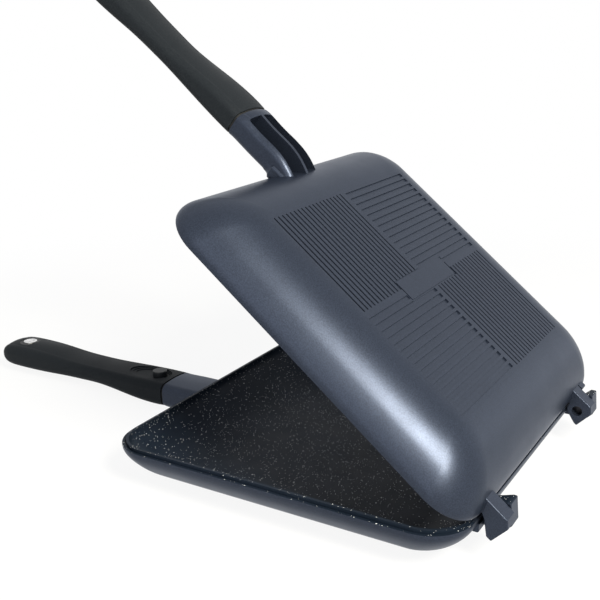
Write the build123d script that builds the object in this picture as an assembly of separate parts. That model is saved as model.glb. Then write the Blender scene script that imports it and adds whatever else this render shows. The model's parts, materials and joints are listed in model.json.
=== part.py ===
from build123d import *
import math
import os

# Stovetop sandwich maker: two shallow cast pans that close on each other,
# joined at the back by two knuckle hinges, each with a pull-off handle at the front.
# Frame: X along the hinge axis, Y from the handles to the hinges, Z up.
# The origin is the centre of the lower pan's flat underside. Millimetres.
# Both pans are the same casting but for the rim: the upper one is turned half a
# turn about Y and swung open about the hinge axis, as it stands at rest.
# Each half is drawn in the casting's own frame: the parting plane is z = 0,
# the outside of the pan points to -Z, the handle to -Y and the hinge to +Y.

# pans
pan_width = 214.0
pan_length = 204.4
pan_depth = 24.0
pan_corner_radius = 23.5
pan_shoulder_run = 34.2
pan_shoulder_drop = 21.1
shoulder_power = 1.27
pan_draft = 6.0
corner_fade = 0.53
# shares of a quarter turn at which the shoulder has its sections
shoulder_steps = [0.0, 0.12, 0.25, 0.38, 0.5, 0.62, 0.74, 0.85, 0.94, 1.0]
rim_width = 4.0
base_thickness = 3.6
parting_gap = 0.2
lip_height = 1.5
lip_width = 1.8
lip_clearance = 0.7
groove_depth = 0.7

# hinges
hinge_reach = 7.0
hinge_margin = 45.0
knuckle_width = 9.5
knuckle_gap = 0.5
knuckle_back = 7.7
knuckle_end = 6.8
knuckle_tip = 7.0
knuckle_tip_inset = 1.0
knuckle_tip_heel = 0.8
knuckle_bevel = 3.2
knuckle_corner_radius = 0.7
knuckle_edge_radius = 0.5
knuckle_root = 5.0
heel_gap = 0.8
hinge_bore_radius = 3.0
pin_running_clearance = 0.05
pin_shoulder_gap = 0.05
pin_recess = 5.0
pin_stub_radius = 2.0
pin_stub_length = 5.5
stop_tab_width = 6.5
stop_tab_top = 2.6
stop_tab_height = 4.6
stop_tab_bevel = 0.6
stop_clearance = 0.1
open_limit = 76.0
rest_opening = 38.9

# underside pattern
pattern_margin_x = 34.5
pattern_margin_y = 36.3
pattern_inner_margin = 1.6
fine_groove_count = 19
fine_groove_width = 1.1
fine_groove_depth = 0.9
broad_groove_count = 15
broad_groove_width = 2.5
broad_groove_depth = 0.7
plate_length = 58.0
plate_width = 14.0
plate_thickness = 1.2
plate_line = 0.9
plate_line_depth = 0.4

# neck
neck_length = 34.2
neck_half_width = 15.0
neck_inner_z = 5.6
neck_outer_z = 20.8
neck_inner_radius = 5.0
neck_outer_radius = 4.5
neck_inner_crown = 0.6
neck_outer_crown = 1.5
radius_share = 0.9
neck_straight = 27.0
neck_root_fall = 5.5
neck_root_depth = 14.0
neck_wall = 3.0
neck_floor = 3.5
neck_end_wall = 5.2
neck_arch_radius = 2.0
neck_rib = 2.2
foot_reach = 5.5
foot_flare = 1.5
foot_bottom = 12.5
foot_radius = 2.0
foot_root = 10.0

# handle seam and tongue
gasket_thickness = 1.4
gasket_inset = 0.7
tongue_half_width = 7.4
tongue_thickness = 2.6
tongue_length = 30.0
tongue_z = 12.0
tongue_clearance = 0.2
tongue_end_radius = 4.0
tongue_slot_clearance = 0.4
sleeve_wall = 0.7
sleeve_length = 32.0
seat_fit = 0.02

# grip
grip_length = 148.4
grip_waist_half_width = 13.7
grip_waist_inner_z = 6.3
grip_waist_outer_z = 17.2
grip_pad_half_width = 14.7
grip_pad_inner_z = 3.6
grip_pad_outer_z = 18.3
grip_pad_crown = 1.1
grip_pad_radius = 6.0

# release button
button_offset = 13.4
button_radius = 4.7
button_travel = 3.0
button_proud = 1.2
button_clearance = 0.1
button_top_wall = 1.2
button_wall = 1.0
button_skirt = 0.6
button_edge_radius = 0.6
dish_depth = 1.2
dish_shift = 7.6
dish_half_length = 16.2
dish_half_width = 9.8
dish_step_count = 3
dish_step_width = 2.6
dish_step_lean = 0.75
latch_stem_radius = 1.5
latch_stem_seat = 0.7
latch_collar_radius = 3.8
latch_hole_clearance = 0.3
latch_end_clearance = 0.05
spring_wire_radius = 0.3
spring_mean_radius = 2.7
spring_turns = 4
spring_end_gap = 0.05

# magnet
magnet_to_end = 17.2
magnet_radius = 4.6
magnet_height = 3.7
magnet_depth = 0.2
magnet_ring_radius = 7.4
magnet_ring_depth = 0.7
magnet_ring_floor = 0.8

# values worked out from the sizes above
pattern_half_x = pan_width / 2 - pattern_margin_x
pattern_half_y = pan_length / 2 - pattern_margin_y
hinge_y = pan_length / 2 + hinge_reach
hinge_inner_x = pan_width / 2 - hinge_margin
outer_knuckle_x = hinge_inner_x + knuckle_width + knuckle_gap
seam_y = -pan_length / 2 - neck_length
grip_start_y = seam_y - gasket_thickness
button_y = seam_y - button_offset
magnet_y = grip_start_y - grip_length + magnet_to_end
tongue_top = -tongue_z
tongue_bottom = tongue_top - tongue_thickness
sleeve_inner_top = tongue_top + tongue_clearance
sleeve_inner_bottom = tongue_bottom - tongue_clearance
sleeve_inner_half = tongue_half_width + tongue_clearance
sleeve_top = sleeve_inner_top + sleeve_wall
sleeve_bottom = sleeve_inner_bottom - sleeve_wall
sleeve_half_width = sleeve_inner_half + sleeve_wall
sleeve_end_y = grip_start_y - sleeve_length
latch_hole_radius = latch_collar_radius + latch_hole_clearance
stem_hole_radius = latch_stem_radius + latch_hole_clearance
collar_top = tongue_top - latch_end_clearance
collar_bottom = tongue_bottom + latch_end_clearance
dish_floor = -neck_inner_z - dish_depth
button_top = dish_floor + button_travel + button_proud
button_ceiling = button_top - button_top_wall
button_bottom = dish_floor - button_skirt
stem_top = button_ceiling + latch_stem_seat
pad_face_z = -grip_pad_inner_z + grip_pad_crown
ring_face_z = pad_face_z - magnet_ring_depth
magnet_face_z = pad_face_z - magnet_depth
magnet_floor_z = magnet_face_z - magnet_height
ring_floor_z = magnet_floor_z - magnet_ring_floor


def slab(x_range, y_range, z_range):
    """Box between two corners, given as a pair of limits along each axis."""
    spans = [high - low for low, high in (x_range, y_range, z_range)]
    middle = [(low + high) / 2 for low, high in (x_range, y_range, z_range)]
    return Pos(*middle) * Box(*spans)


def rod(radius, low, high, x=0.0, y=0.0):
    """Upright cylinder from z = low to z = high."""
    return Pos(x, y, (low + high) / 2) * Cylinder(radius, high - low)


def cross_rod(radius, low, high, y=0.0, z=0.0):
    """Cylinder along X from x = low to x = high."""
    return Pos((low + high) / 2, y, z) * Rot(0, 90, 0) * Cylinder(radius, high - low)


def pan_form(width, length, depth, corner, run, drop):
    """Tray with its mouth at z = 0: a drafted wall, then a broad soft shoulder down to a flat base.

    Towards the wall the shoulder is flatter than an ellipse, and it runs softly into the base.
    """
    wall = depth - drop
    draft = wall * math.tan(math.radians(pan_draft))
    levels = [(0.0, 0.0)]
    for step in shoulder_steps:
        angle = math.pi / 2 * step
        down = math.sin(angle) ** (2 / shoulder_power)
        levels.append((draft + run * (1 - math.cos(angle)), wall + drop * down))
    rings = []
    for inset, fall in levels:
        outline = RectangleRounded(width - 2 * inset, length - 2 * inset, corner - corner_fade * inset)
        rings.append(Pos(0, 0, -fall) * outline)
    return loft(rings)


def section(y, half_width, inner_z, outer_z, inner_radius, outer_radius, inner_crown, outer_crown):
    """Closed handle section across Y, with a nearly flat inner face and a crowned outer face.

    The corner radii shrink together where the section is too thin to hold both.
    """
    top, bottom = -inner_z, -outer_z
    slope = 1 - math.sqrt(0.5)
    room = min(1.0, radius_share * (outer_z - inner_z) / (inner_radius + outer_radius))
    ir, outr = room * inner_radius, room * outer_radius

    def p(x, z):
        return Vector(x, y, z)

    edges = [
        ThreePointArc(p(ir - half_width, top), p(0, top + inner_crown), p(half_width - ir, top)),
        ThreePointArc(p(half_width - ir, top), p(half_width - slope * ir, top - slope * ir),
                      p(half_width, top - ir)),
        Line(p(half_width, top - ir), p(half_width, bottom + outr)),
        ThreePointArc(p(half_width, bottom + outr), p(half_width - slope * outr, bottom + slope * outr),
                      p(half_width - outr, bottom)),
        ThreePointArc(p(half_width - outr, bottom), p(0, bottom - outer_crown), p(outr - half_width, bottom)),
        ThreePointArc(p(outr - half_width, bottom), p(slope * outr - half_width, bottom + slope * outr),
                      p(-half_width, bottom + outr)),
        Line(p(-half_width, bottom + outr), p(-half_width, top - ir)),
        ThreePointArc(p(-half_width, top - ir), p(slope * ir - half_width, top - slope * ir),
                      p(ir - half_width, top)),
    ]
    return make_face(Wire(edges).edges())


def rim_block(inset, low, high):
    """Rounded block inside the pan's rim outline, from z = low to z = high."""
    outline = RectangleRounded(pan_width - 2 * inset, pan_length - 2 * inset, pan_corner_radius - inset)
    return extrude(Pos(0, 0, low) * outline, high - low)


def outer_form():
    """Outside of the pan, solid, with its rim just below the parting plane."""
    depth = pan_depth - parting_gap
    form = pan_form(pan_width, pan_length, depth, pan_corner_radius, pan_shoulder_run, pan_shoulder_drop)
    return Pos(0, 0, -parting_gap) * form


def cavity_form():
    """Cooking well, drawn out above the rim so that it also opens the raised lip."""
    rise = lip_height + 1.0
    flare = rise * math.tan(math.radians(pan_draft))
    depth = pan_depth - base_thickness + rise
    form = pan_form(
        pan_width - 2 * rim_width + 2 * flare,
        pan_length - 2 * rim_width + 2 * flare,
        depth,
        pan_corner_radius - rim_width + corner_fade * flare,
        pan_shoulder_run - rim_width,
        pan_shoulder_drop - base_thickness,
    )
    return Pos(0, 0, rise) * form


def neck_form():
    """Cast neck, dying into the pan's shoulder, as one solid before its channel is cut."""

    bend_y = seam_y + neck_straight
    root_y = seam_y + neck_length + neck_root_depth
    # share of the way from the bend to the root, share of the fall
    curve = [(0.0, 0.0), (0.3, 0.09), (0.55, 0.3), (0.78, 0.61), (1.0, 1.0)]
    stations = [(seam_y, 0.0), ((seam_y + bend_y) / 2, 0.0)]
    stations += [(bend_y + share * (root_y - bend_y), fall * neck_root_fall) for share, fall in curve]
    return loft([
        section(y, neck_half_width, neck_inner_z, neck_outer_z - fall,
                neck_inner_radius, neck_outer_radius, neck_inner_crown, neck_outer_crown)
        for y, fall in stations
    ])


def neck():
    """Neck with its open channel, the middle rib, the flared foot and the tongue for the handle."""
    form = neck_form()
    inner_half = neck_half_width - neck_wall
    channel_y = seam_y + neck_end_wall
    channel = slab((-inner_half, inner_half), (channel_y, -pan_length / 2 + neck_root_depth),
                   (-2 * neck_outer_z, -neck_inner_z - neck_floor))
    arch = channel.edges().filter_by(Axis.Z).sort_by(Axis.Y)[:2]
    channel = channel.fillet(neck_arch_radius, arch)
    rib = slab((-neck_rib / 2, neck_rib / 2), (channel_y - 1, -pan_length / 2 + neck_root_depth),
               (-2 * neck_outer_z, -neck_inner_z - 1))
    return (form - channel) + (rib & form) + (foot() - channel) + tongue()


def foot():
    """Flare of the neck where it meets the pan's wall."""
    # share of the reach before the wall, share of the flare there
    curve = [(1.0, -0.12), (0.6, 0.1), (0.32, 0.34), (0.12, 0.7), (0.0, 1.0)]
    rings = []
    for share, widening in curve:
        wider = widening * foot_flare
        y = -pan_length / 2 - share * foot_reach
        rings.append(section(y, neck_half_width + wider, neck_inner_z - wider,
                             foot_bottom + wider, neck_inner_radius, foot_radius,
                             neck_inner_crown, neck_inner_crown))
    return loft(rings) + extrude(rings[-1], foot_root, dir=(0, 1, 0))


def tongue():
    """Flat tongue that carries the handle, with a keyhole for the latch."""
    end_y = seam_y - tongue_length
    blade = slab((-tongue_half_width, tongue_half_width), (end_y, seam_y + neck_end_wall - 1),
                 (tongue_bottom, tongue_top))
    corners = blade.edges().filter_by(Axis.Z).sort_by(Axis.Y)[:2]
    blade = blade.fillet(tongue_end_radius, corners)
    slot_half = latch_stem_radius + tongue_slot_clearance
    slot = slab((-slot_half, slot_half), (end_y - 1, button_y), (tongue_bottom - 1, tongue_top + 1))
    hole = rod(latch_hole_radius, tongue_bottom - 1, tongue_top + 1, y=button_y)
    return blade - slot - hole


def knuckle(heel, low_x, bore_radius, bore_depth):
    """One hinge knuckle; heel lists the points of its edge that faces the pan's rim, from the tip down."""
    back = -knuckle_back
    root = -hinge_reach - knuckle_root
    tip_y = knuckle_end - knuckle_tip_inset
    points = [(root, back), (knuckle_end - knuckle_bevel, back), (knuckle_end, back + knuckle_bevel),
              (tip_y, knuckle_tip)]
    points += heel
    points += [(root, -parting_gap)]
    outline = make_face(Polyline(*points, close=True))
    free = outline.vertices().sort_by(Axis.X)[2:]
    outline = fillet(free, knuckle_corner_radius)
    block = extrude(Plane.YZ * outline, knuckle_width)
    sides = block.faces().filter_by(Axis.X)
    block = block.fillet(knuckle_edge_radius, sides.edges())
    block = Pos(low_x, hinge_y, 0) * block
    bore = cross_rod(bore_radius, low_x + knuckle_width - bore_depth, low_x + knuckle_width + 1, y=hinge_y)
    return block - bore


def inner_knuckle():
    """Inboard knuckle on the +X side, bored right through for the other pan's pin."""
    bore = hinge_bore_radius
    heel = [(bore + 0.9, knuckle_tip), (-bore - 0.8, bore + 1.5), (-bore - 2.4, bore),
            (-hinge_reach + heel_gap, -parting_gap)]
    return knuckle(heel, hinge_inner_x, bore, knuckle_width + 1)


def outer_knuckle():
    """Outboard knuckle on the -X side, with a blind seat for its own pin."""
    stub = pin_stub_radius
    heel = [(stub + knuckle_tip_heel, knuckle_tip), (-stub - 0.1, stub + 0.6), (-stub - 1.5, stub - 0.7),
            (-hinge_reach + heel_gap, -parting_gap)]
    return knuckle(heel, -outer_knuckle_x - knuckle_width, stub + seat_fit, pin_stub_length + seat_fit)


def stop_tab():
    """Tab on the wall that the other pan's outboard knuckle meets when the lid is fully open."""
    angle = math.radians(open_limit)
    tip_ends = (pin_stub_radius + knuckle_tip_heel, knuckle_end - knuckle_tip_inset)
    reach = max(knuckle_tip * math.sin(angle) - y * math.cos(angle) for y in tip_ends)
    face_y = hinge_y - reach - stop_clearance
    low_x = outer_knuckle_x + (knuckle_width - stop_tab_width) / 2
    tab = slab((low_x, low_x + stop_tab_width), (pan_length / 2 - knuckle_root, face_y),
               (-stop_tab_top - stop_tab_height, -stop_tab_top))
    outer_edges = tab.faces().sort_by(Axis.Y)[-1].edges()
    return tab.chamfer(stop_tab_bevel, None, outer_edges.filter_by(Axis.X))


def grooves():
    """Cutters for the pattern on the flat underside: fine and broad grooves in opposite quarters."""
    face = -pan_depth
    fine_pitch = (pattern_half_x - pattern_inner_margin) / fine_groove_count
    broad_pitch = (pattern_half_y - pattern_inner_margin) / broad_groove_count
    cutters = []
    for side in (-1, 1):
        for k in range(fine_groove_count):
            x = side * (pattern_inner_margin + (k + 0.5) * fine_pitch)
            half = fine_groove_width / 2
            y_low = pattern_inner_margin if side > 0 else -pattern_half_y
            y_high = pattern_half_y if side > 0 else -pattern_inner_margin
            cutters.append(slab((x - half, x + half), (y_low, y_high), (face - 1, face + fine_groove_depth)))
        for k in range(broad_groove_count):
            y = -side * (pattern_inner_margin + (k + 0.5) * broad_pitch)
            half = broad_groove_width / 2
            x_low = pattern_inner_margin if side > 0 else -pattern_half_x
            x_high = pattern_half_x if side > 0 else -pattern_inner_margin
            cutters.append(slab((x_low, x_high), (y - half, y + half), (face - 1, face + broad_groove_depth)))
    return cutters


def name_plate():
    """Plain plate area in the middle of the pattern, left bare."""
    half_x, half_y = plate_length / 2, plate_width / 2
    return slab((-half_x, half_x), (-half_y, half_y), (-pan_depth, -pan_depth + plate_thickness))


def plate_line_cutter():
    """Fine line that frames the plain plate."""
    half_x, half_y = plate_length / 2, plate_width / 2
    z_range = (-pan_depth - 1, -pan_depth + plate_line_depth)
    outer = slab((-half_x, half_x), (-half_y, half_y), z_range)
    inner_x, inner_y = half_x - plate_line, half_y - plate_line
    inner = slab((-inner_x, inner_x), (-inner_y, inner_y), z_range)
    return outer - inner


def casting(with_lip):
    """One cast pan half: tray, neck with tongue, two knuckles, stop tab and underside pattern."""
    body = outer_form() + neck() + inner_knuckle() + outer_knuckle() + stop_tab()
    lip_inset = rim_width - lip_width
    ledge_inset = lip_inset - lip_clearance
    if with_lip:
        body = body + rim_block(lip_inset, -2 * groove_depth, lip_height)
        groove = rim_block(ledge_inset, -parting_gap - groove_depth, 0)
        body = body - (groove - rim_block(lip_inset, -2 * pan_depth, 1))
    else:
        body = body - rim_block(ledge_inset, -lip_height - 2 * parting_gap, 1)
    body = body - cavity_form()
    body = body - grooves()
    return body + name_plate() - plate_line_cutter()


def hinge_pin():
    """Shouldered pin, seated in the outboard knuckle and running in the other pan's inboard knuckle."""
    inner_face = -outer_knuckle_x + pin_shoulder_gap
    shank_radius = hinge_bore_radius - pin_running_clearance
    shank = cross_rod(shank_radius, inner_face, -hinge_inner_x - pin_recess, y=hinge_y)
    stub = cross_rod(pin_stub_radius, -outer_knuckle_x - pin_stub_length, inner_face + 1, y=hinge_y)
    return shank + stub


def seam_gasket():
    """Thin gasket between the neck and the grip, with a window for the tongue."""
    plate = extrude(section(grip_start_y, neck_half_width - gasket_inset, neck_inner_z + gasket_inset,
                            neck_outer_z - gasket_inset, neck_inner_radius, neck_outer_radius,
                            neck_inner_crown, neck_outer_crown), gasket_thickness, dir=(0, 1, 0))
    window = slab((-sleeve_inner_half, sleeve_inner_half), (grip_start_y - 1, seam_y + 1),
                  (sleeve_inner_bottom, sleeve_inner_top))
    return plate - window


def socket_sleeve():
    """Pressed steel sleeve inside the grip that the tongue slides into, closed at its far end."""
    shell = slab((-sleeve_half_width, sleeve_half_width), (sleeve_end_y, grip_start_y),
                 (sleeve_bottom, sleeve_top))
    room = slab((-sleeve_inner_half, sleeve_inner_half), (sleeve_end_y + sleeve_wall, grip_start_y + 1),
                (sleeve_inner_bottom, sleeve_inner_top))
    stem_hole = rod(stem_hole_radius, sleeve_inner_top - 1, sleeve_top + 1, y=button_y)
    collar_hole = rod(latch_hole_radius, sleeve_bottom - 1, sleeve_inner_bottom + 1, y=button_y)
    return shell - room - stem_hole - collar_hole


def grip_form():
    """Outside of the grip: full at the neck, waisted for the hand, thick again at the magnet."""
    start = (neck_half_width, neck_inner_z, neck_outer_z, neck_inner_radius, neck_inner_crown)
    waist = (grip_waist_half_width, grip_waist_inner_z, grip_waist_outer_z,
             neck_inner_radius, neck_inner_crown)
    pad = (grip_pad_half_width, grip_pad_inner_z, grip_pad_outer_z, grip_pad_radius, grip_pad_crown)

    def between(first, second, share):
        return [(1 - share) * a + share * b for a, b in zip(first, second)]

    def tip(narrower, inward, outward):
        half, inner, outer, radius, crown = pad
        return [half - narrower, inner + inward, outer - outward, radius - narrower / 2, crown - narrower / 8]

    # share of the length, section there
    stations = [
        (0.0, start),
        (0.08, between(start, waist, -0.06)),
        (0.15, between(start, waist, 0.1)),
        (0.22, between(start, waist, 0.38)),
        (0.30, between(start, waist, 0.74)),
        (0.38, between(start, waist, 0.98)),
        (0.47, between(waist, pad, 0.03)),
        (0.575, between(waist, pad, 0.22)),
        (0.66, between(waist, pad, 0.58)),
        (0.74, between(waist, pad, 0.88)),
        (0.82, pad),
        (0.90, tip(0.0, 0.1, 0.1)),
        (0.94, tip(0.4, 0.4, 0.3)),
        (0.97, tip(1.3, 1.2, 1.0)),
        (0.99, tip(2.8, 2.6, 2.2)),
        (1.0, tip(5.0, 4.4, 3.8)),
    ]
    rings = []
    for share, (half, inner, outer, radius, crown) in stations:
        outer_crown = neck_outer_crown * half / neck_half_width
        rings.append(section(grip_start_y - share * grip_length, half, inner, outer,
                             radius, neck_outer_radius, crown, outer_crown))
    return loft(rings)


def dish():
    """Stepped oval hollow around the release button, its steps towards the hand."""
    cutters = []
    for step in range(dish_step_count):
        inset = step * dish_step_width / 2
        oval = Ellipse(dish_half_width - inset, dish_half_length - inset)
        floor = -neck_inner_z - dish_depth * (step + 1) / dish_step_count
        centre_y = button_y - dish_shift + dish_step_lean * inset
        cutters.append(extrude(Pos(0, centre_y, floor) * oval, neck_inner_z + dish_depth))
    return cutters


def grip():
    """Moulded grip with its socket, button guide, latch pocket and magnet seat."""
    body = grip_form() - dish()
    socket = slab((-sleeve_half_width - seat_fit, sleeve_half_width + seat_fit),
                  (sleeve_end_y - seat_fit, grip_start_y + 1),
                  (sleeve_bottom - seat_fit, sleeve_top + seat_fit))
    guide = rod(button_radius + button_clearance, sleeve_top - 1, dish_floor + 1, y=button_y)
    pocket_floor = collar_bottom - button_travel - latch_hole_clearance
    pocket = rod(latch_hole_radius, pocket_floor, sleeve_bottom + 1, y=button_y)
    magnet_seat = rod(magnet_ring_radius + seat_fit, ring_floor_z - seat_fit, neck_inner_z, y=magnet_y)
    return body - socket - guide - pocket - magnet_seat


def release_button():
    """Push button: an upturned cup over the spring, pressed onto the latch pin."""
    cup = rod(button_radius, button_bottom, button_top, y=button_y)
    cup = cup.fillet(button_edge_radius, cup.faces().sort_by(Axis.Z)[-1].edges())
    room = rod(button_radius - button_wall, button_bottom - 1, button_ceiling, y=button_y)
    seat = rod(latch_stem_radius, button_bottom - 1, stem_top, y=button_y)
    return cup - room - seat


def latch_pin():
    """Steel pin whose collar locks in the tongue's keyhole until the button is pressed."""
    collar = rod(latch_collar_radius, collar_bottom, collar_top, y=button_y)
    stem = rod(latch_stem_radius, collar_top - 1, stem_top, y=button_y)
    return collar + stem


def button_spring():
    """Coil spring between the sleeve and the button's ceiling."""
    low = sleeve_top + spring_wire_radius + spring_end_gap
    high = button_ceiling - spring_wire_radius - spring_end_gap
    path = Helix(pitch=(high - low) / spring_turns, height=high - low, radius=spring_mean_radius)
    wire = Plane(origin=path @ 0, z_dir=path % 0) * Circle(spring_wire_radius)
    return Pos(0, button_y, low) * sweep(wire, path=path)


def magnet():
    """Round magnet at the end of the grip that holds the two handles together."""
    return rod(magnet_radius, magnet_floor_z, magnet_face_z, y=magnet_y)


def magnet_ring():
    """Dark cup that holds the magnet in the grip."""
    cup = rod(magnet_ring_radius, ring_floor_z, ring_face_z, y=magnet_y)
    return cup - rod(magnet_radius + seat_fit, magnet_floor_z, ring_face_z + 1, y=magnet_y)


def half_pieces(with_lip):
    """Every piece that a half carries, in the casting's frame."""
    return {
        "pan": casting(with_lip),
        "hinge_pin": hinge_pin(),
        "seam_gasket": seam_gasket(),
        "grip": grip(),
        "socket_sleeve": socket_sleeve(),
        "release_button": release_button(),
        "latch_pin": latch_pin(),
        "button_spring": button_spring(),
        "magnet": magnet(),
        "magnet_ring": magnet_ring(),
    }


lower_place = Pos(0, 0, pan_depth)
upper_place = (
    Pos(0, hinge_y, pan_depth) * Rot(-rest_opening, 0, 0) * Pos(0, -hinge_y, 0) * Rot(0, 180, 0)
)

os.makedirs("parts", exist_ok=True)
for half, place, with_lip in (("lower", lower_place, True), ("upper", upper_place, False)):
    for name, piece in half_pieces(with_lip).items():
        export_step(place * piece, f"parts/{half}_{name}.step")
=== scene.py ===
import json
import math

import bpy
from mathutils import Matrix, Vector


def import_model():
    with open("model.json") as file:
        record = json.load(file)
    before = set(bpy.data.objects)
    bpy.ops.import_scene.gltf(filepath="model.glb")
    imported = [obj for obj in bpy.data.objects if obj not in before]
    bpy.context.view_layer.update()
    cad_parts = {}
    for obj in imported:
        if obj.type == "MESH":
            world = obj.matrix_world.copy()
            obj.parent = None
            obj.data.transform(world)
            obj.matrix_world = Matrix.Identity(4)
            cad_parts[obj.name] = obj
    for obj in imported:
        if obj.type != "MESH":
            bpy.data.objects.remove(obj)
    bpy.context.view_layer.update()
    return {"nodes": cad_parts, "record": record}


# Looks of the stovetop sandwich maker: materials, lights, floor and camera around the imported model.
# Lengths are in metres, in the model's frame.

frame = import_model()
nodes = frame["nodes"]

# Sizes of the pans that the masks below follow
HALVES = ("lower", "upper")
RIM_Z = 0.024
HINGE = Vector((0.0, 0.1092, RIM_Z))
OPENING = math.radians(38.9)
PAN_HALF_X = 0.1070
PAN_HALF_Y = 0.1022
CORNER_RADIUS = 0.0235

# Where the black coating ends: how far inside the rim's outline, how deep all faces have it, and
# how level a face of a knuckle has to be
RIM_EDGE = 0.0005
RIM_TOP = 0.0012
TOP_FACING = 0.5

# Depth in the well, and how far inside the rim's outline its wall lies there, less a small margin
WELL_WALL = (
    (0, 0), (0.0065, 0.0035), (0.0091, 0.0080), (0.0150, 0.0150), (0.0190, 0.0240), (0.0206, 0.0300),
)


def casting_frame(half):
    """Matrix from the model's frame to the one in which both castings are drawn alike."""
    if half == "lower":
        return Matrix.Translation((0, 0, -RIM_Z))
    swing = Matrix.Rotation(OPENING, 4, "X")
    closing = Matrix.Translation(HINGE) @ swing @ Matrix.Translation(-HINGE)
    return Matrix.Rotation(math.pi, 4, "Y") @ Matrix.Translation((0, 0, -RIM_Z)) @ closing


def rim_distance(x, y):
    """How far a point lies inside the rim's rounded outline, seen along the casting's Z."""
    dx = abs(x) - (PAN_HALF_X - CORNER_RADIUS)
    dy = abs(y) - (PAN_HALF_Y - CORNER_RADIUS)
    if dx <= 0 or dy <= 0:
        return CORNER_RADIUS - max(dx, dy)
    return CORNER_RADIUS - math.hypot(dx, dy)


def well_inset(depth):
    """How far inside the rim's outline a face at a depth must lie to be one of the well's."""
    for (above, near), (below, far) in zip(WELL_WALL, WELL_WALL[1:]):
        if depth <= below:
            return near + (far - near) * (depth - above) / (below - above)
    return math.inf


def is_inside(point, normal):
    """Whether a face of a casting, in the casting's frame, has the black coating of the well."""
    if rim_distance(point.x, point.y) < RIM_EDGE:
        return point.y > PAN_HALF_Y and normal.z > TOP_FACING
    return point.z > -RIM_TOP or rim_distance(point.x, point.y) > well_inset(-point.z)


# Range in which a noise texture's value mostly lies
NOISE_LOW = 0.3
NOISE_HIGH = 0.7
GRAIN_LOW = 0.34
GRAIN_HIGH = 0.66

# Specks: cells to the metre, largest radius in a cell, share of the cells with one, pattern's shift
SPECKS = ((620, 0.15, 0.36, 0.0), (330, 0.11, 0.22, 3.7), (1000, 0.20, 0.42, 7.1))


class Shader:
    """A Principled material that is built up from named nodes."""

    def __init__(self, name):
        self.material = bpy.data.materials.new(name)
        self.material.use_nodes = True
        self.tree = self.material.node_tree
        self.bsdf = self.tree.nodes["Principled BSDF"]
        self.place = self.node("ShaderNodeTexCoord").outputs["Object"]

    def node(self, kind, **settings):
        made = self.tree.nodes.new(kind)
        for key, value in settings.items():
            setattr(made, key, value)
        return made

    def link(self, source, target):
        self.tree.links.new(source, target)

    def set(self, **values):
        for key, value in values.items():
            self.bsdf.inputs[key.replace("_", " ")].default_value = value

    def mapped(self, scale=(1, 1, 1), shift=(0, 0, 0)):
        made = self.node("ShaderNodeMapping")
        made.inputs["Scale"].default_value = scale
        made.inputs["Location"].default_value = shift
        self.link(self.place, made.inputs["Vector"])
        return made.outputs["Vector"]

    def noise(self, scale, detail=2.0, stretch=(1, 1, 1)):
        made = self.node("ShaderNodeTexNoise")
        made.inputs["Scale"].default_value = scale
        made.inputs["Detail"].default_value = detail
        self.link(self.mapped(stretch), made.inputs["Vector"])
        return made.outputs["Fac"]

    def math(self, operation, first, second):
        made = self.node("ShaderNodeMath", operation=operation)
        for socket, value in zip(made.inputs, (first, second)):
            if isinstance(value, (int, float)):
                socket.default_value = value
            else:
                self.link(value, socket)
        return made.outputs[0]

    def spread(self, value, low, high, first=0.0, last=1.0):
        """Map a value's range from low to high onto first to last."""
        made = self.node("ShaderNodeMapRange")
        for socket, number in (("From Min", low), ("From Max", high), ("To Min", first), ("To Max", last)):
            made.inputs[socket].default_value = number
        self.link(value, made.inputs["Value"])
        return made.outputs["Result"]

    def varied(self, noise, first=0.0, last=1.0):
        """Map the usual range of a noise texture onto first to last."""
        return self.spread(noise, NOISE_LOW, NOISE_HIGH, first, last)

    def mix(self, factor, first, second, blend="MIX"):
        """Mix two colours, each of them a plain colour or another node's output."""
        made = self.node("ShaderNodeMix", data_type="RGBA", blend_type=blend)
        for name, value in (("Factor", factor), ("A", first), ("B", second)):
            if isinstance(value, tuple):
                made.inputs[name].default_value = (*value, 1)
            elif isinstance(value, (int, float)):
                made.inputs[name].default_value = value
            else:
                self.link(value, made.inputs[name])
        return made.outputs["Result"]

    def specks(self, scale, size, share, seed):
        """Round specks of one size: a part of the cells of a Voronoi pattern."""
        cells = self.node("ShaderNodeTexVoronoi", voronoi_dimensions="3D")
        cells.inputs["Scale"].default_value = scale
        self.link(self.mapped(shift=(seed, seed, seed)), cells.inputs["Vector"])
        split = self.node("ShaderNodeSeparateColor")
        self.link(cells.outputs["Color"], split.inputs["Color"])
        radius = self.spread(split.outputs["Green"], 0, 1, 0.4 * size, size)
        near = self.math("LESS_THAN", cells.outputs["Distance"], radius)
        chosen = self.math("LESS_THAN", split.outputs["Red"], share)
        return self.math("MULTIPLY", near, chosen)

    def finish(self, colour, roughness, height, depth, strength=1.0):
        self.link(colour, self.bsdf.inputs["Base Color"])
        self.link(roughness, self.bsdf.inputs["Roughness"])
        bump = self.node("ShaderNodeBump")
        bump.inputs["Distance"].default_value = depth
        bump.inputs["Strength"].default_value = strength
        self.link(height, bump.inputs["Height"])
        self.link(bump.outputs["Normal"], self.bsdf.inputs["Normal"])
        return self.material


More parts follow.
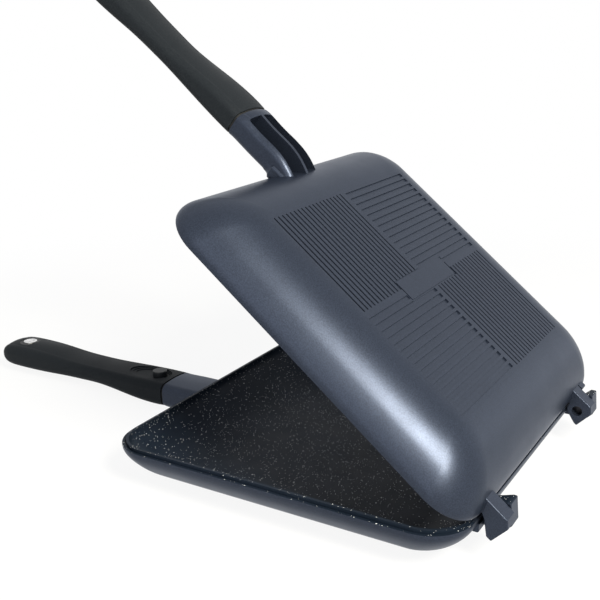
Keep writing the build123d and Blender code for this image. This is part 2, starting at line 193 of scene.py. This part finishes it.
def slate():
    """Satin slate-grey coating with a fine metallic grain."""
    s = Shader("slate_coating")
    s.set(Metallic=0.6, Specular_IOR_Level=0.35, Specular_Tint=(0.62, 0.66, 0.74, 1))
    s.set(Coat_Weight=0.08, Coat_Roughness=0.3)
    grain = s.spread(s.noise(1900, 1.0), GRAIN_LOW, GRAIN_HIGH)
    cloud = s.varied(s.noise(14, 3.0))
    base = s.mix(grain, (0.017, 0.022, 0.035), (0.027, 0.035, 0.055))
    shade = s.mix(cloud, (0.94, 0.94, 0.95), (1.04, 1.04, 1.03))
    roughness = s.varied(s.noise(60), 0.33, 0.38)
    return s.finish(s.mix(1.0, base, shade, "MULTIPLY"), roughness, s.noise(1300), 0.00003, 0.4)


def nonstick():
    """Black non-stick coating with fine white specks of three sizes."""
    s = Shader("speckled_nonstick")
    s.set(Specular_IOR_Level=0.05)
    ground = s.mix(s.varied(s.noise(30, 3.0)), (0.006, 0.010, 0.017), (0.010, 0.015, 0.025))
    dots = s.specks(*SPECKS[0])
    for sort in SPECKS[1:]:
        dots = s.math("MAXIMUM", dots, s.specks(*sort))
    colour = s.mix(dots, ground, (0.95, 0.97, 1.0))
    roughness = s.varied(s.noise(80), 0.36, 0.46)
    return s.finish(colour, roughness, s.noise(700, 3.0), 0.00006, 0.6)


def moulded(name, dark, light, low, high, depth, specular):
    """Matte moulded plastic or rubber with a fine grain."""
    s = Shader(name)
    s.set(Specular_IOR_Level=specular)
    colour = s.mix(s.varied(s.noise(1500)), dark, light)
    roughness = s.varied(s.noise(45), low, high)
    return s.finish(colour, roughness, s.noise(2200), depth, 0.6)


def metal(name, dark, light, low, high, grain=900, stretch=(1, 1, 1)):
    """Bare metal with turning, drawing or plating marks."""
    s = Shader(name)
    s.set(Metallic=1.0)
    marks = s.varied(s.noise(grain, 3.0, stretch))
    roughness = s.spread(marks, 0, 1, low, high)
    return s.finish(s.mix(marks, dark, light), roughness, marks, 0.00002, 0.5)


# Each with its darkest and lightest colour and its least and most roughness, and the moulded ones
# also with their grain's depth and specular level
MATERIALS = {
    "grip": moulded(
        "grip_plastic", (0.009, 0.011, 0.014), (0.014, 0.017, 0.020), 0.48, 0.56, 0.00005, 0.06),
    "button": moulded(
        "button_plastic", (0.010, 0.012, 0.015), (0.015, 0.017, 0.020), 0.34, 0.42, 0.00004, 0.2),
    "gasket": moulded(
        "gasket_rubber", (0.004, 0.004, 0.004), (0.008, 0.008, 0.008), 0.6, 0.7, 0.00004, 0.3),
    "ring": moulded(
        "ring_plastic", (0.007, 0.008, 0.010), (0.011, 0.012, 0.014), 0.35, 0.42, 0.00004, 0.15),
    # The steel is coloured near black as painted shade: it stands for the shade inside the pins' recessed
    # bores
    "steel": metal(
        "pin_steel_painted_bore_shade", (0.04, 0.04, 0.045), (0.07, 0.07, 0.075), 0.3, 0.42, stretch=(0.08, 1, 1)),
    "spring_steel": metal(
        "spring_wire", (0.40, 0.40, 0.42), (0.5, 0.5, 0.52), 0.28, 0.38, stretch=(1, 1, 0.1)),
    "magnet": metal(
        "magnet_nickel", (0.40, 0.40, 0.41), (0.95, 0.95, 0.94), 0.2, 0.42, grain=420),
}
NODE_SLOTS = {entry["node"]: entry["material_slot"] for entry in frame["record"]["subparts"]}

# The castings take both coatings, all other nodes the material of their slot
coatings = (slate(), nonstick())
for half in HALVES:
    pan = nodes[f"{half}_pan"]
    pan.data.materials.clear()
    for coating in coatings:
        pan.data.materials.append(coating)
    to_casting = casting_frame(half)
    turn = to_casting.to_3x3()
    for face in pan.data.polygons:
        face.material_index = int(is_inside(to_casting @ face.center, turn @ face.normal))
for name, slot_name in NODE_SLOTS.items():
    if slot_name in MATERIALS:
        nodes[name].data.materials.clear()
        nodes[name].data.materials.append(MATERIALS[slot_name])


def seen_rays(tree):
    """1 for the rays in which the background shows: camera, glossy and transmission rays."""
    path = tree.nodes.new("ShaderNodeLightPath")
    total = path.outputs["Is Camera Ray"]
    for name in ("Is Glossy Ray", "Is Transmission Ray"):
        union = tree.nodes.new("ShaderNodeMath")
        union.operation = "MAXIMUM"
        tree.links.new(total, union.inputs[0])
        tree.links.new(path.outputs[name], union.inputs[1])
        total = union.outputs[0]
    return total


FLOOR_HALF = 6.0
FLOOR_ALBEDO = (0.9, 0.9, 0.9, 1)
FLOOR_GLOW_NEAR = 0.9
FLOOR_GLOW_FROM = 0.3
FLOOR_GLOW_TO = 0.65


def floor():
    """Pale floor that shows white and keeps a soft shadow near the object."""
    mesh = bpy.data.meshes.new("floor")
    corners = [(x * FLOOR_HALF, y * FLOOR_HALF, 0) for x, y in ((-1, -1), (1, -1), (1, 1), (-1, 1))]
    mesh.from_pydata(corners, [], [(0, 1, 2, 3)])
    made = bpy.data.objects.new("floor", mesh)
    bpy.context.scene.collection.objects.link(made)
    material = bpy.data.materials.new("floor_white")
    material.use_nodes = True
    tree = material.node_tree
    tree.nodes.clear()
    out = tree.nodes.new("ShaderNodeOutputMaterial")
    diffuse = tree.nodes.new("ShaderNodeBsdfDiffuse")
    diffuse.inputs["Color"].default_value = FLOOR_ALBEDO
    glow = tree.nodes.new("ShaderNodeEmission")
    glow.inputs["Color"].default_value = (1, 1, 1, 1)
    place = tree.nodes.new("ShaderNodeTexCoord")
    away = tree.nodes.new("ShaderNodeVectorMath")
    away.operation = "LENGTH"
    tree.links.new(place.outputs["Object"], away.inputs[0])
    share = tree.nodes.new("ShaderNodeMapRange")
    share.interpolation_type = "SMOOTHSTEP"
    share.inputs["From Min"].default_value = FLOOR_GLOW_FROM
    share.inputs["From Max"].default_value = FLOOR_GLOW_TO
    share.inputs["To Min"].default_value = FLOOR_GLOW_NEAR
    tree.links.new(away.outputs["Value"], share.inputs["Value"])
    factor = tree.nodes.new("ShaderNodeMath")
    factor.operation = "MULTIPLY"
    tree.links.new(seen_rays(tree), factor.inputs[0])
    tree.links.new(share.outputs["Result"], factor.inputs[1])
    mix = tree.nodes.new("ShaderNodeMixShader")
    tree.links.new(factor.outputs[0], mix.inputs[0])
    tree.links.new(diffuse.outputs[0], mix.inputs[1])
    tree.links.new(glow.outputs[0], mix.inputs[2])
    tree.links.new(mix.outputs[0], out.inputs[0])
    mesh.materials.append(material)


WORLD_TINT = (0.96, 0.98, 1.0, 1)
WORLD_LIGHT = 0.4


def world():
    """White background, with a soft even light on the object."""
    made = bpy.data.worlds.new("studio")
    bpy.context.scene.world = made
    made.use_nodes = True
    tree = made.node_tree
    tree.nodes.clear()
    out = tree.nodes.new("ShaderNodeOutputWorld")
    seen = tree.nodes.new("ShaderNodeBackground")
    seen.inputs["Color"].default_value = (1, 1, 1, 1)
    light = tree.nodes.new("ShaderNodeBackground")
    light.inputs["Color"].default_value = WORLD_TINT
    light.inputs["Strength"].default_value = WORLD_LIGHT
    mix = tree.nodes.new("ShaderNodeMixShader")
    tree.links.new(seen_rays(tree), mix.inputs[0])
    tree.links.new(light.outputs[0], mix.inputs[1])
    tree.links.new(seen.outputs[0], mix.inputs[2])
    tree.links.new(mix.outputs[0], out.inputs[0])


# Lamps: name, place, target, size in metres, power in watts, colour
LAMPS = (
    ("key", (0.39, 0.64, 0.69), (0.08, 0.05, 0.10), 0.28, 20.0, (1.0, 0.95, 0.82)),
    ("far_strip", (-1.25, 0.90, 0.40), (0, 0.08, 0.1), 0.8, 1.2, (1, 1, 1)),
    ("near_fill", (1.1, 0.2, 0.6), (0, 0, 0.1), 0.8, 3.0, (1, 1, 1)),
)


def lamp(name, place, target, size, power, colour):
    """Square area lamp at a place, aimed at a target."""
    data = bpy.data.lights.new(name, "AREA")
    data.color = colour
    data.size = size
    data.energy = power
    made = bpy.data.objects.new(name, data)
    bpy.context.scene.collection.objects.link(made)
    made.location = place
    made.rotation_euler = (Vector(target) - Vector(place)).to_track_quat("-Z", "Y").to_euler()


CAMERA_PLACE = (0.4553, 0.2337, 0.2547)
CAMERA_AZIMUTH = math.radians(31.05)
CAMERA_ELEVATION = math.radians(17.55)
CAMERA_ROLL = math.radians(-0.824)
CAMERA_LENS = 57.058
CAMERA_SENSOR = 36.0
CAMERA_NEAR = 0.01


def camera():
    """Camera at the photograph's place: azimuth from +X, roll about the line of sight."""
    level = math.cos(CAMERA_ELEVATION)
    across = (level * math.cos(CAMERA_AZIMUTH), level * math.sin(CAMERA_AZIMUTH))
    back = Vector((*across, math.sin(CAMERA_ELEVATION)))
    right = Vector((0, 0, 1)).cross(back).normalized()
    up = back.cross(right)
    turned_right = right * math.cos(CAMERA_ROLL) + up * math.sin(CAMERA_ROLL)
    turned_up = up * math.cos(CAMERA_ROLL) - right * math.sin(CAMERA_ROLL)
    data = bpy.data.cameras.new("camera")
    data.sensor_width = CAMERA_SENSOR
    data.lens = CAMERA_LENS
    data.clip_start = CAMERA_NEAR
    made = bpy.data.objects.new("camera", data)
    bpy.context.scene.collection.objects.link(made)
    basis = Matrix((turned_right, turned_up, back)).transposed().to_4x4()
    made.matrix_world = Matrix.Translation(CAMERA_PLACE) @ basis
    bpy.context.scene.camera = made


floor()
world()
for setting in LAMPS:
    lamp(*setting)
camera()
bpy.context.scene.view_settings.view_transform = "Standard"
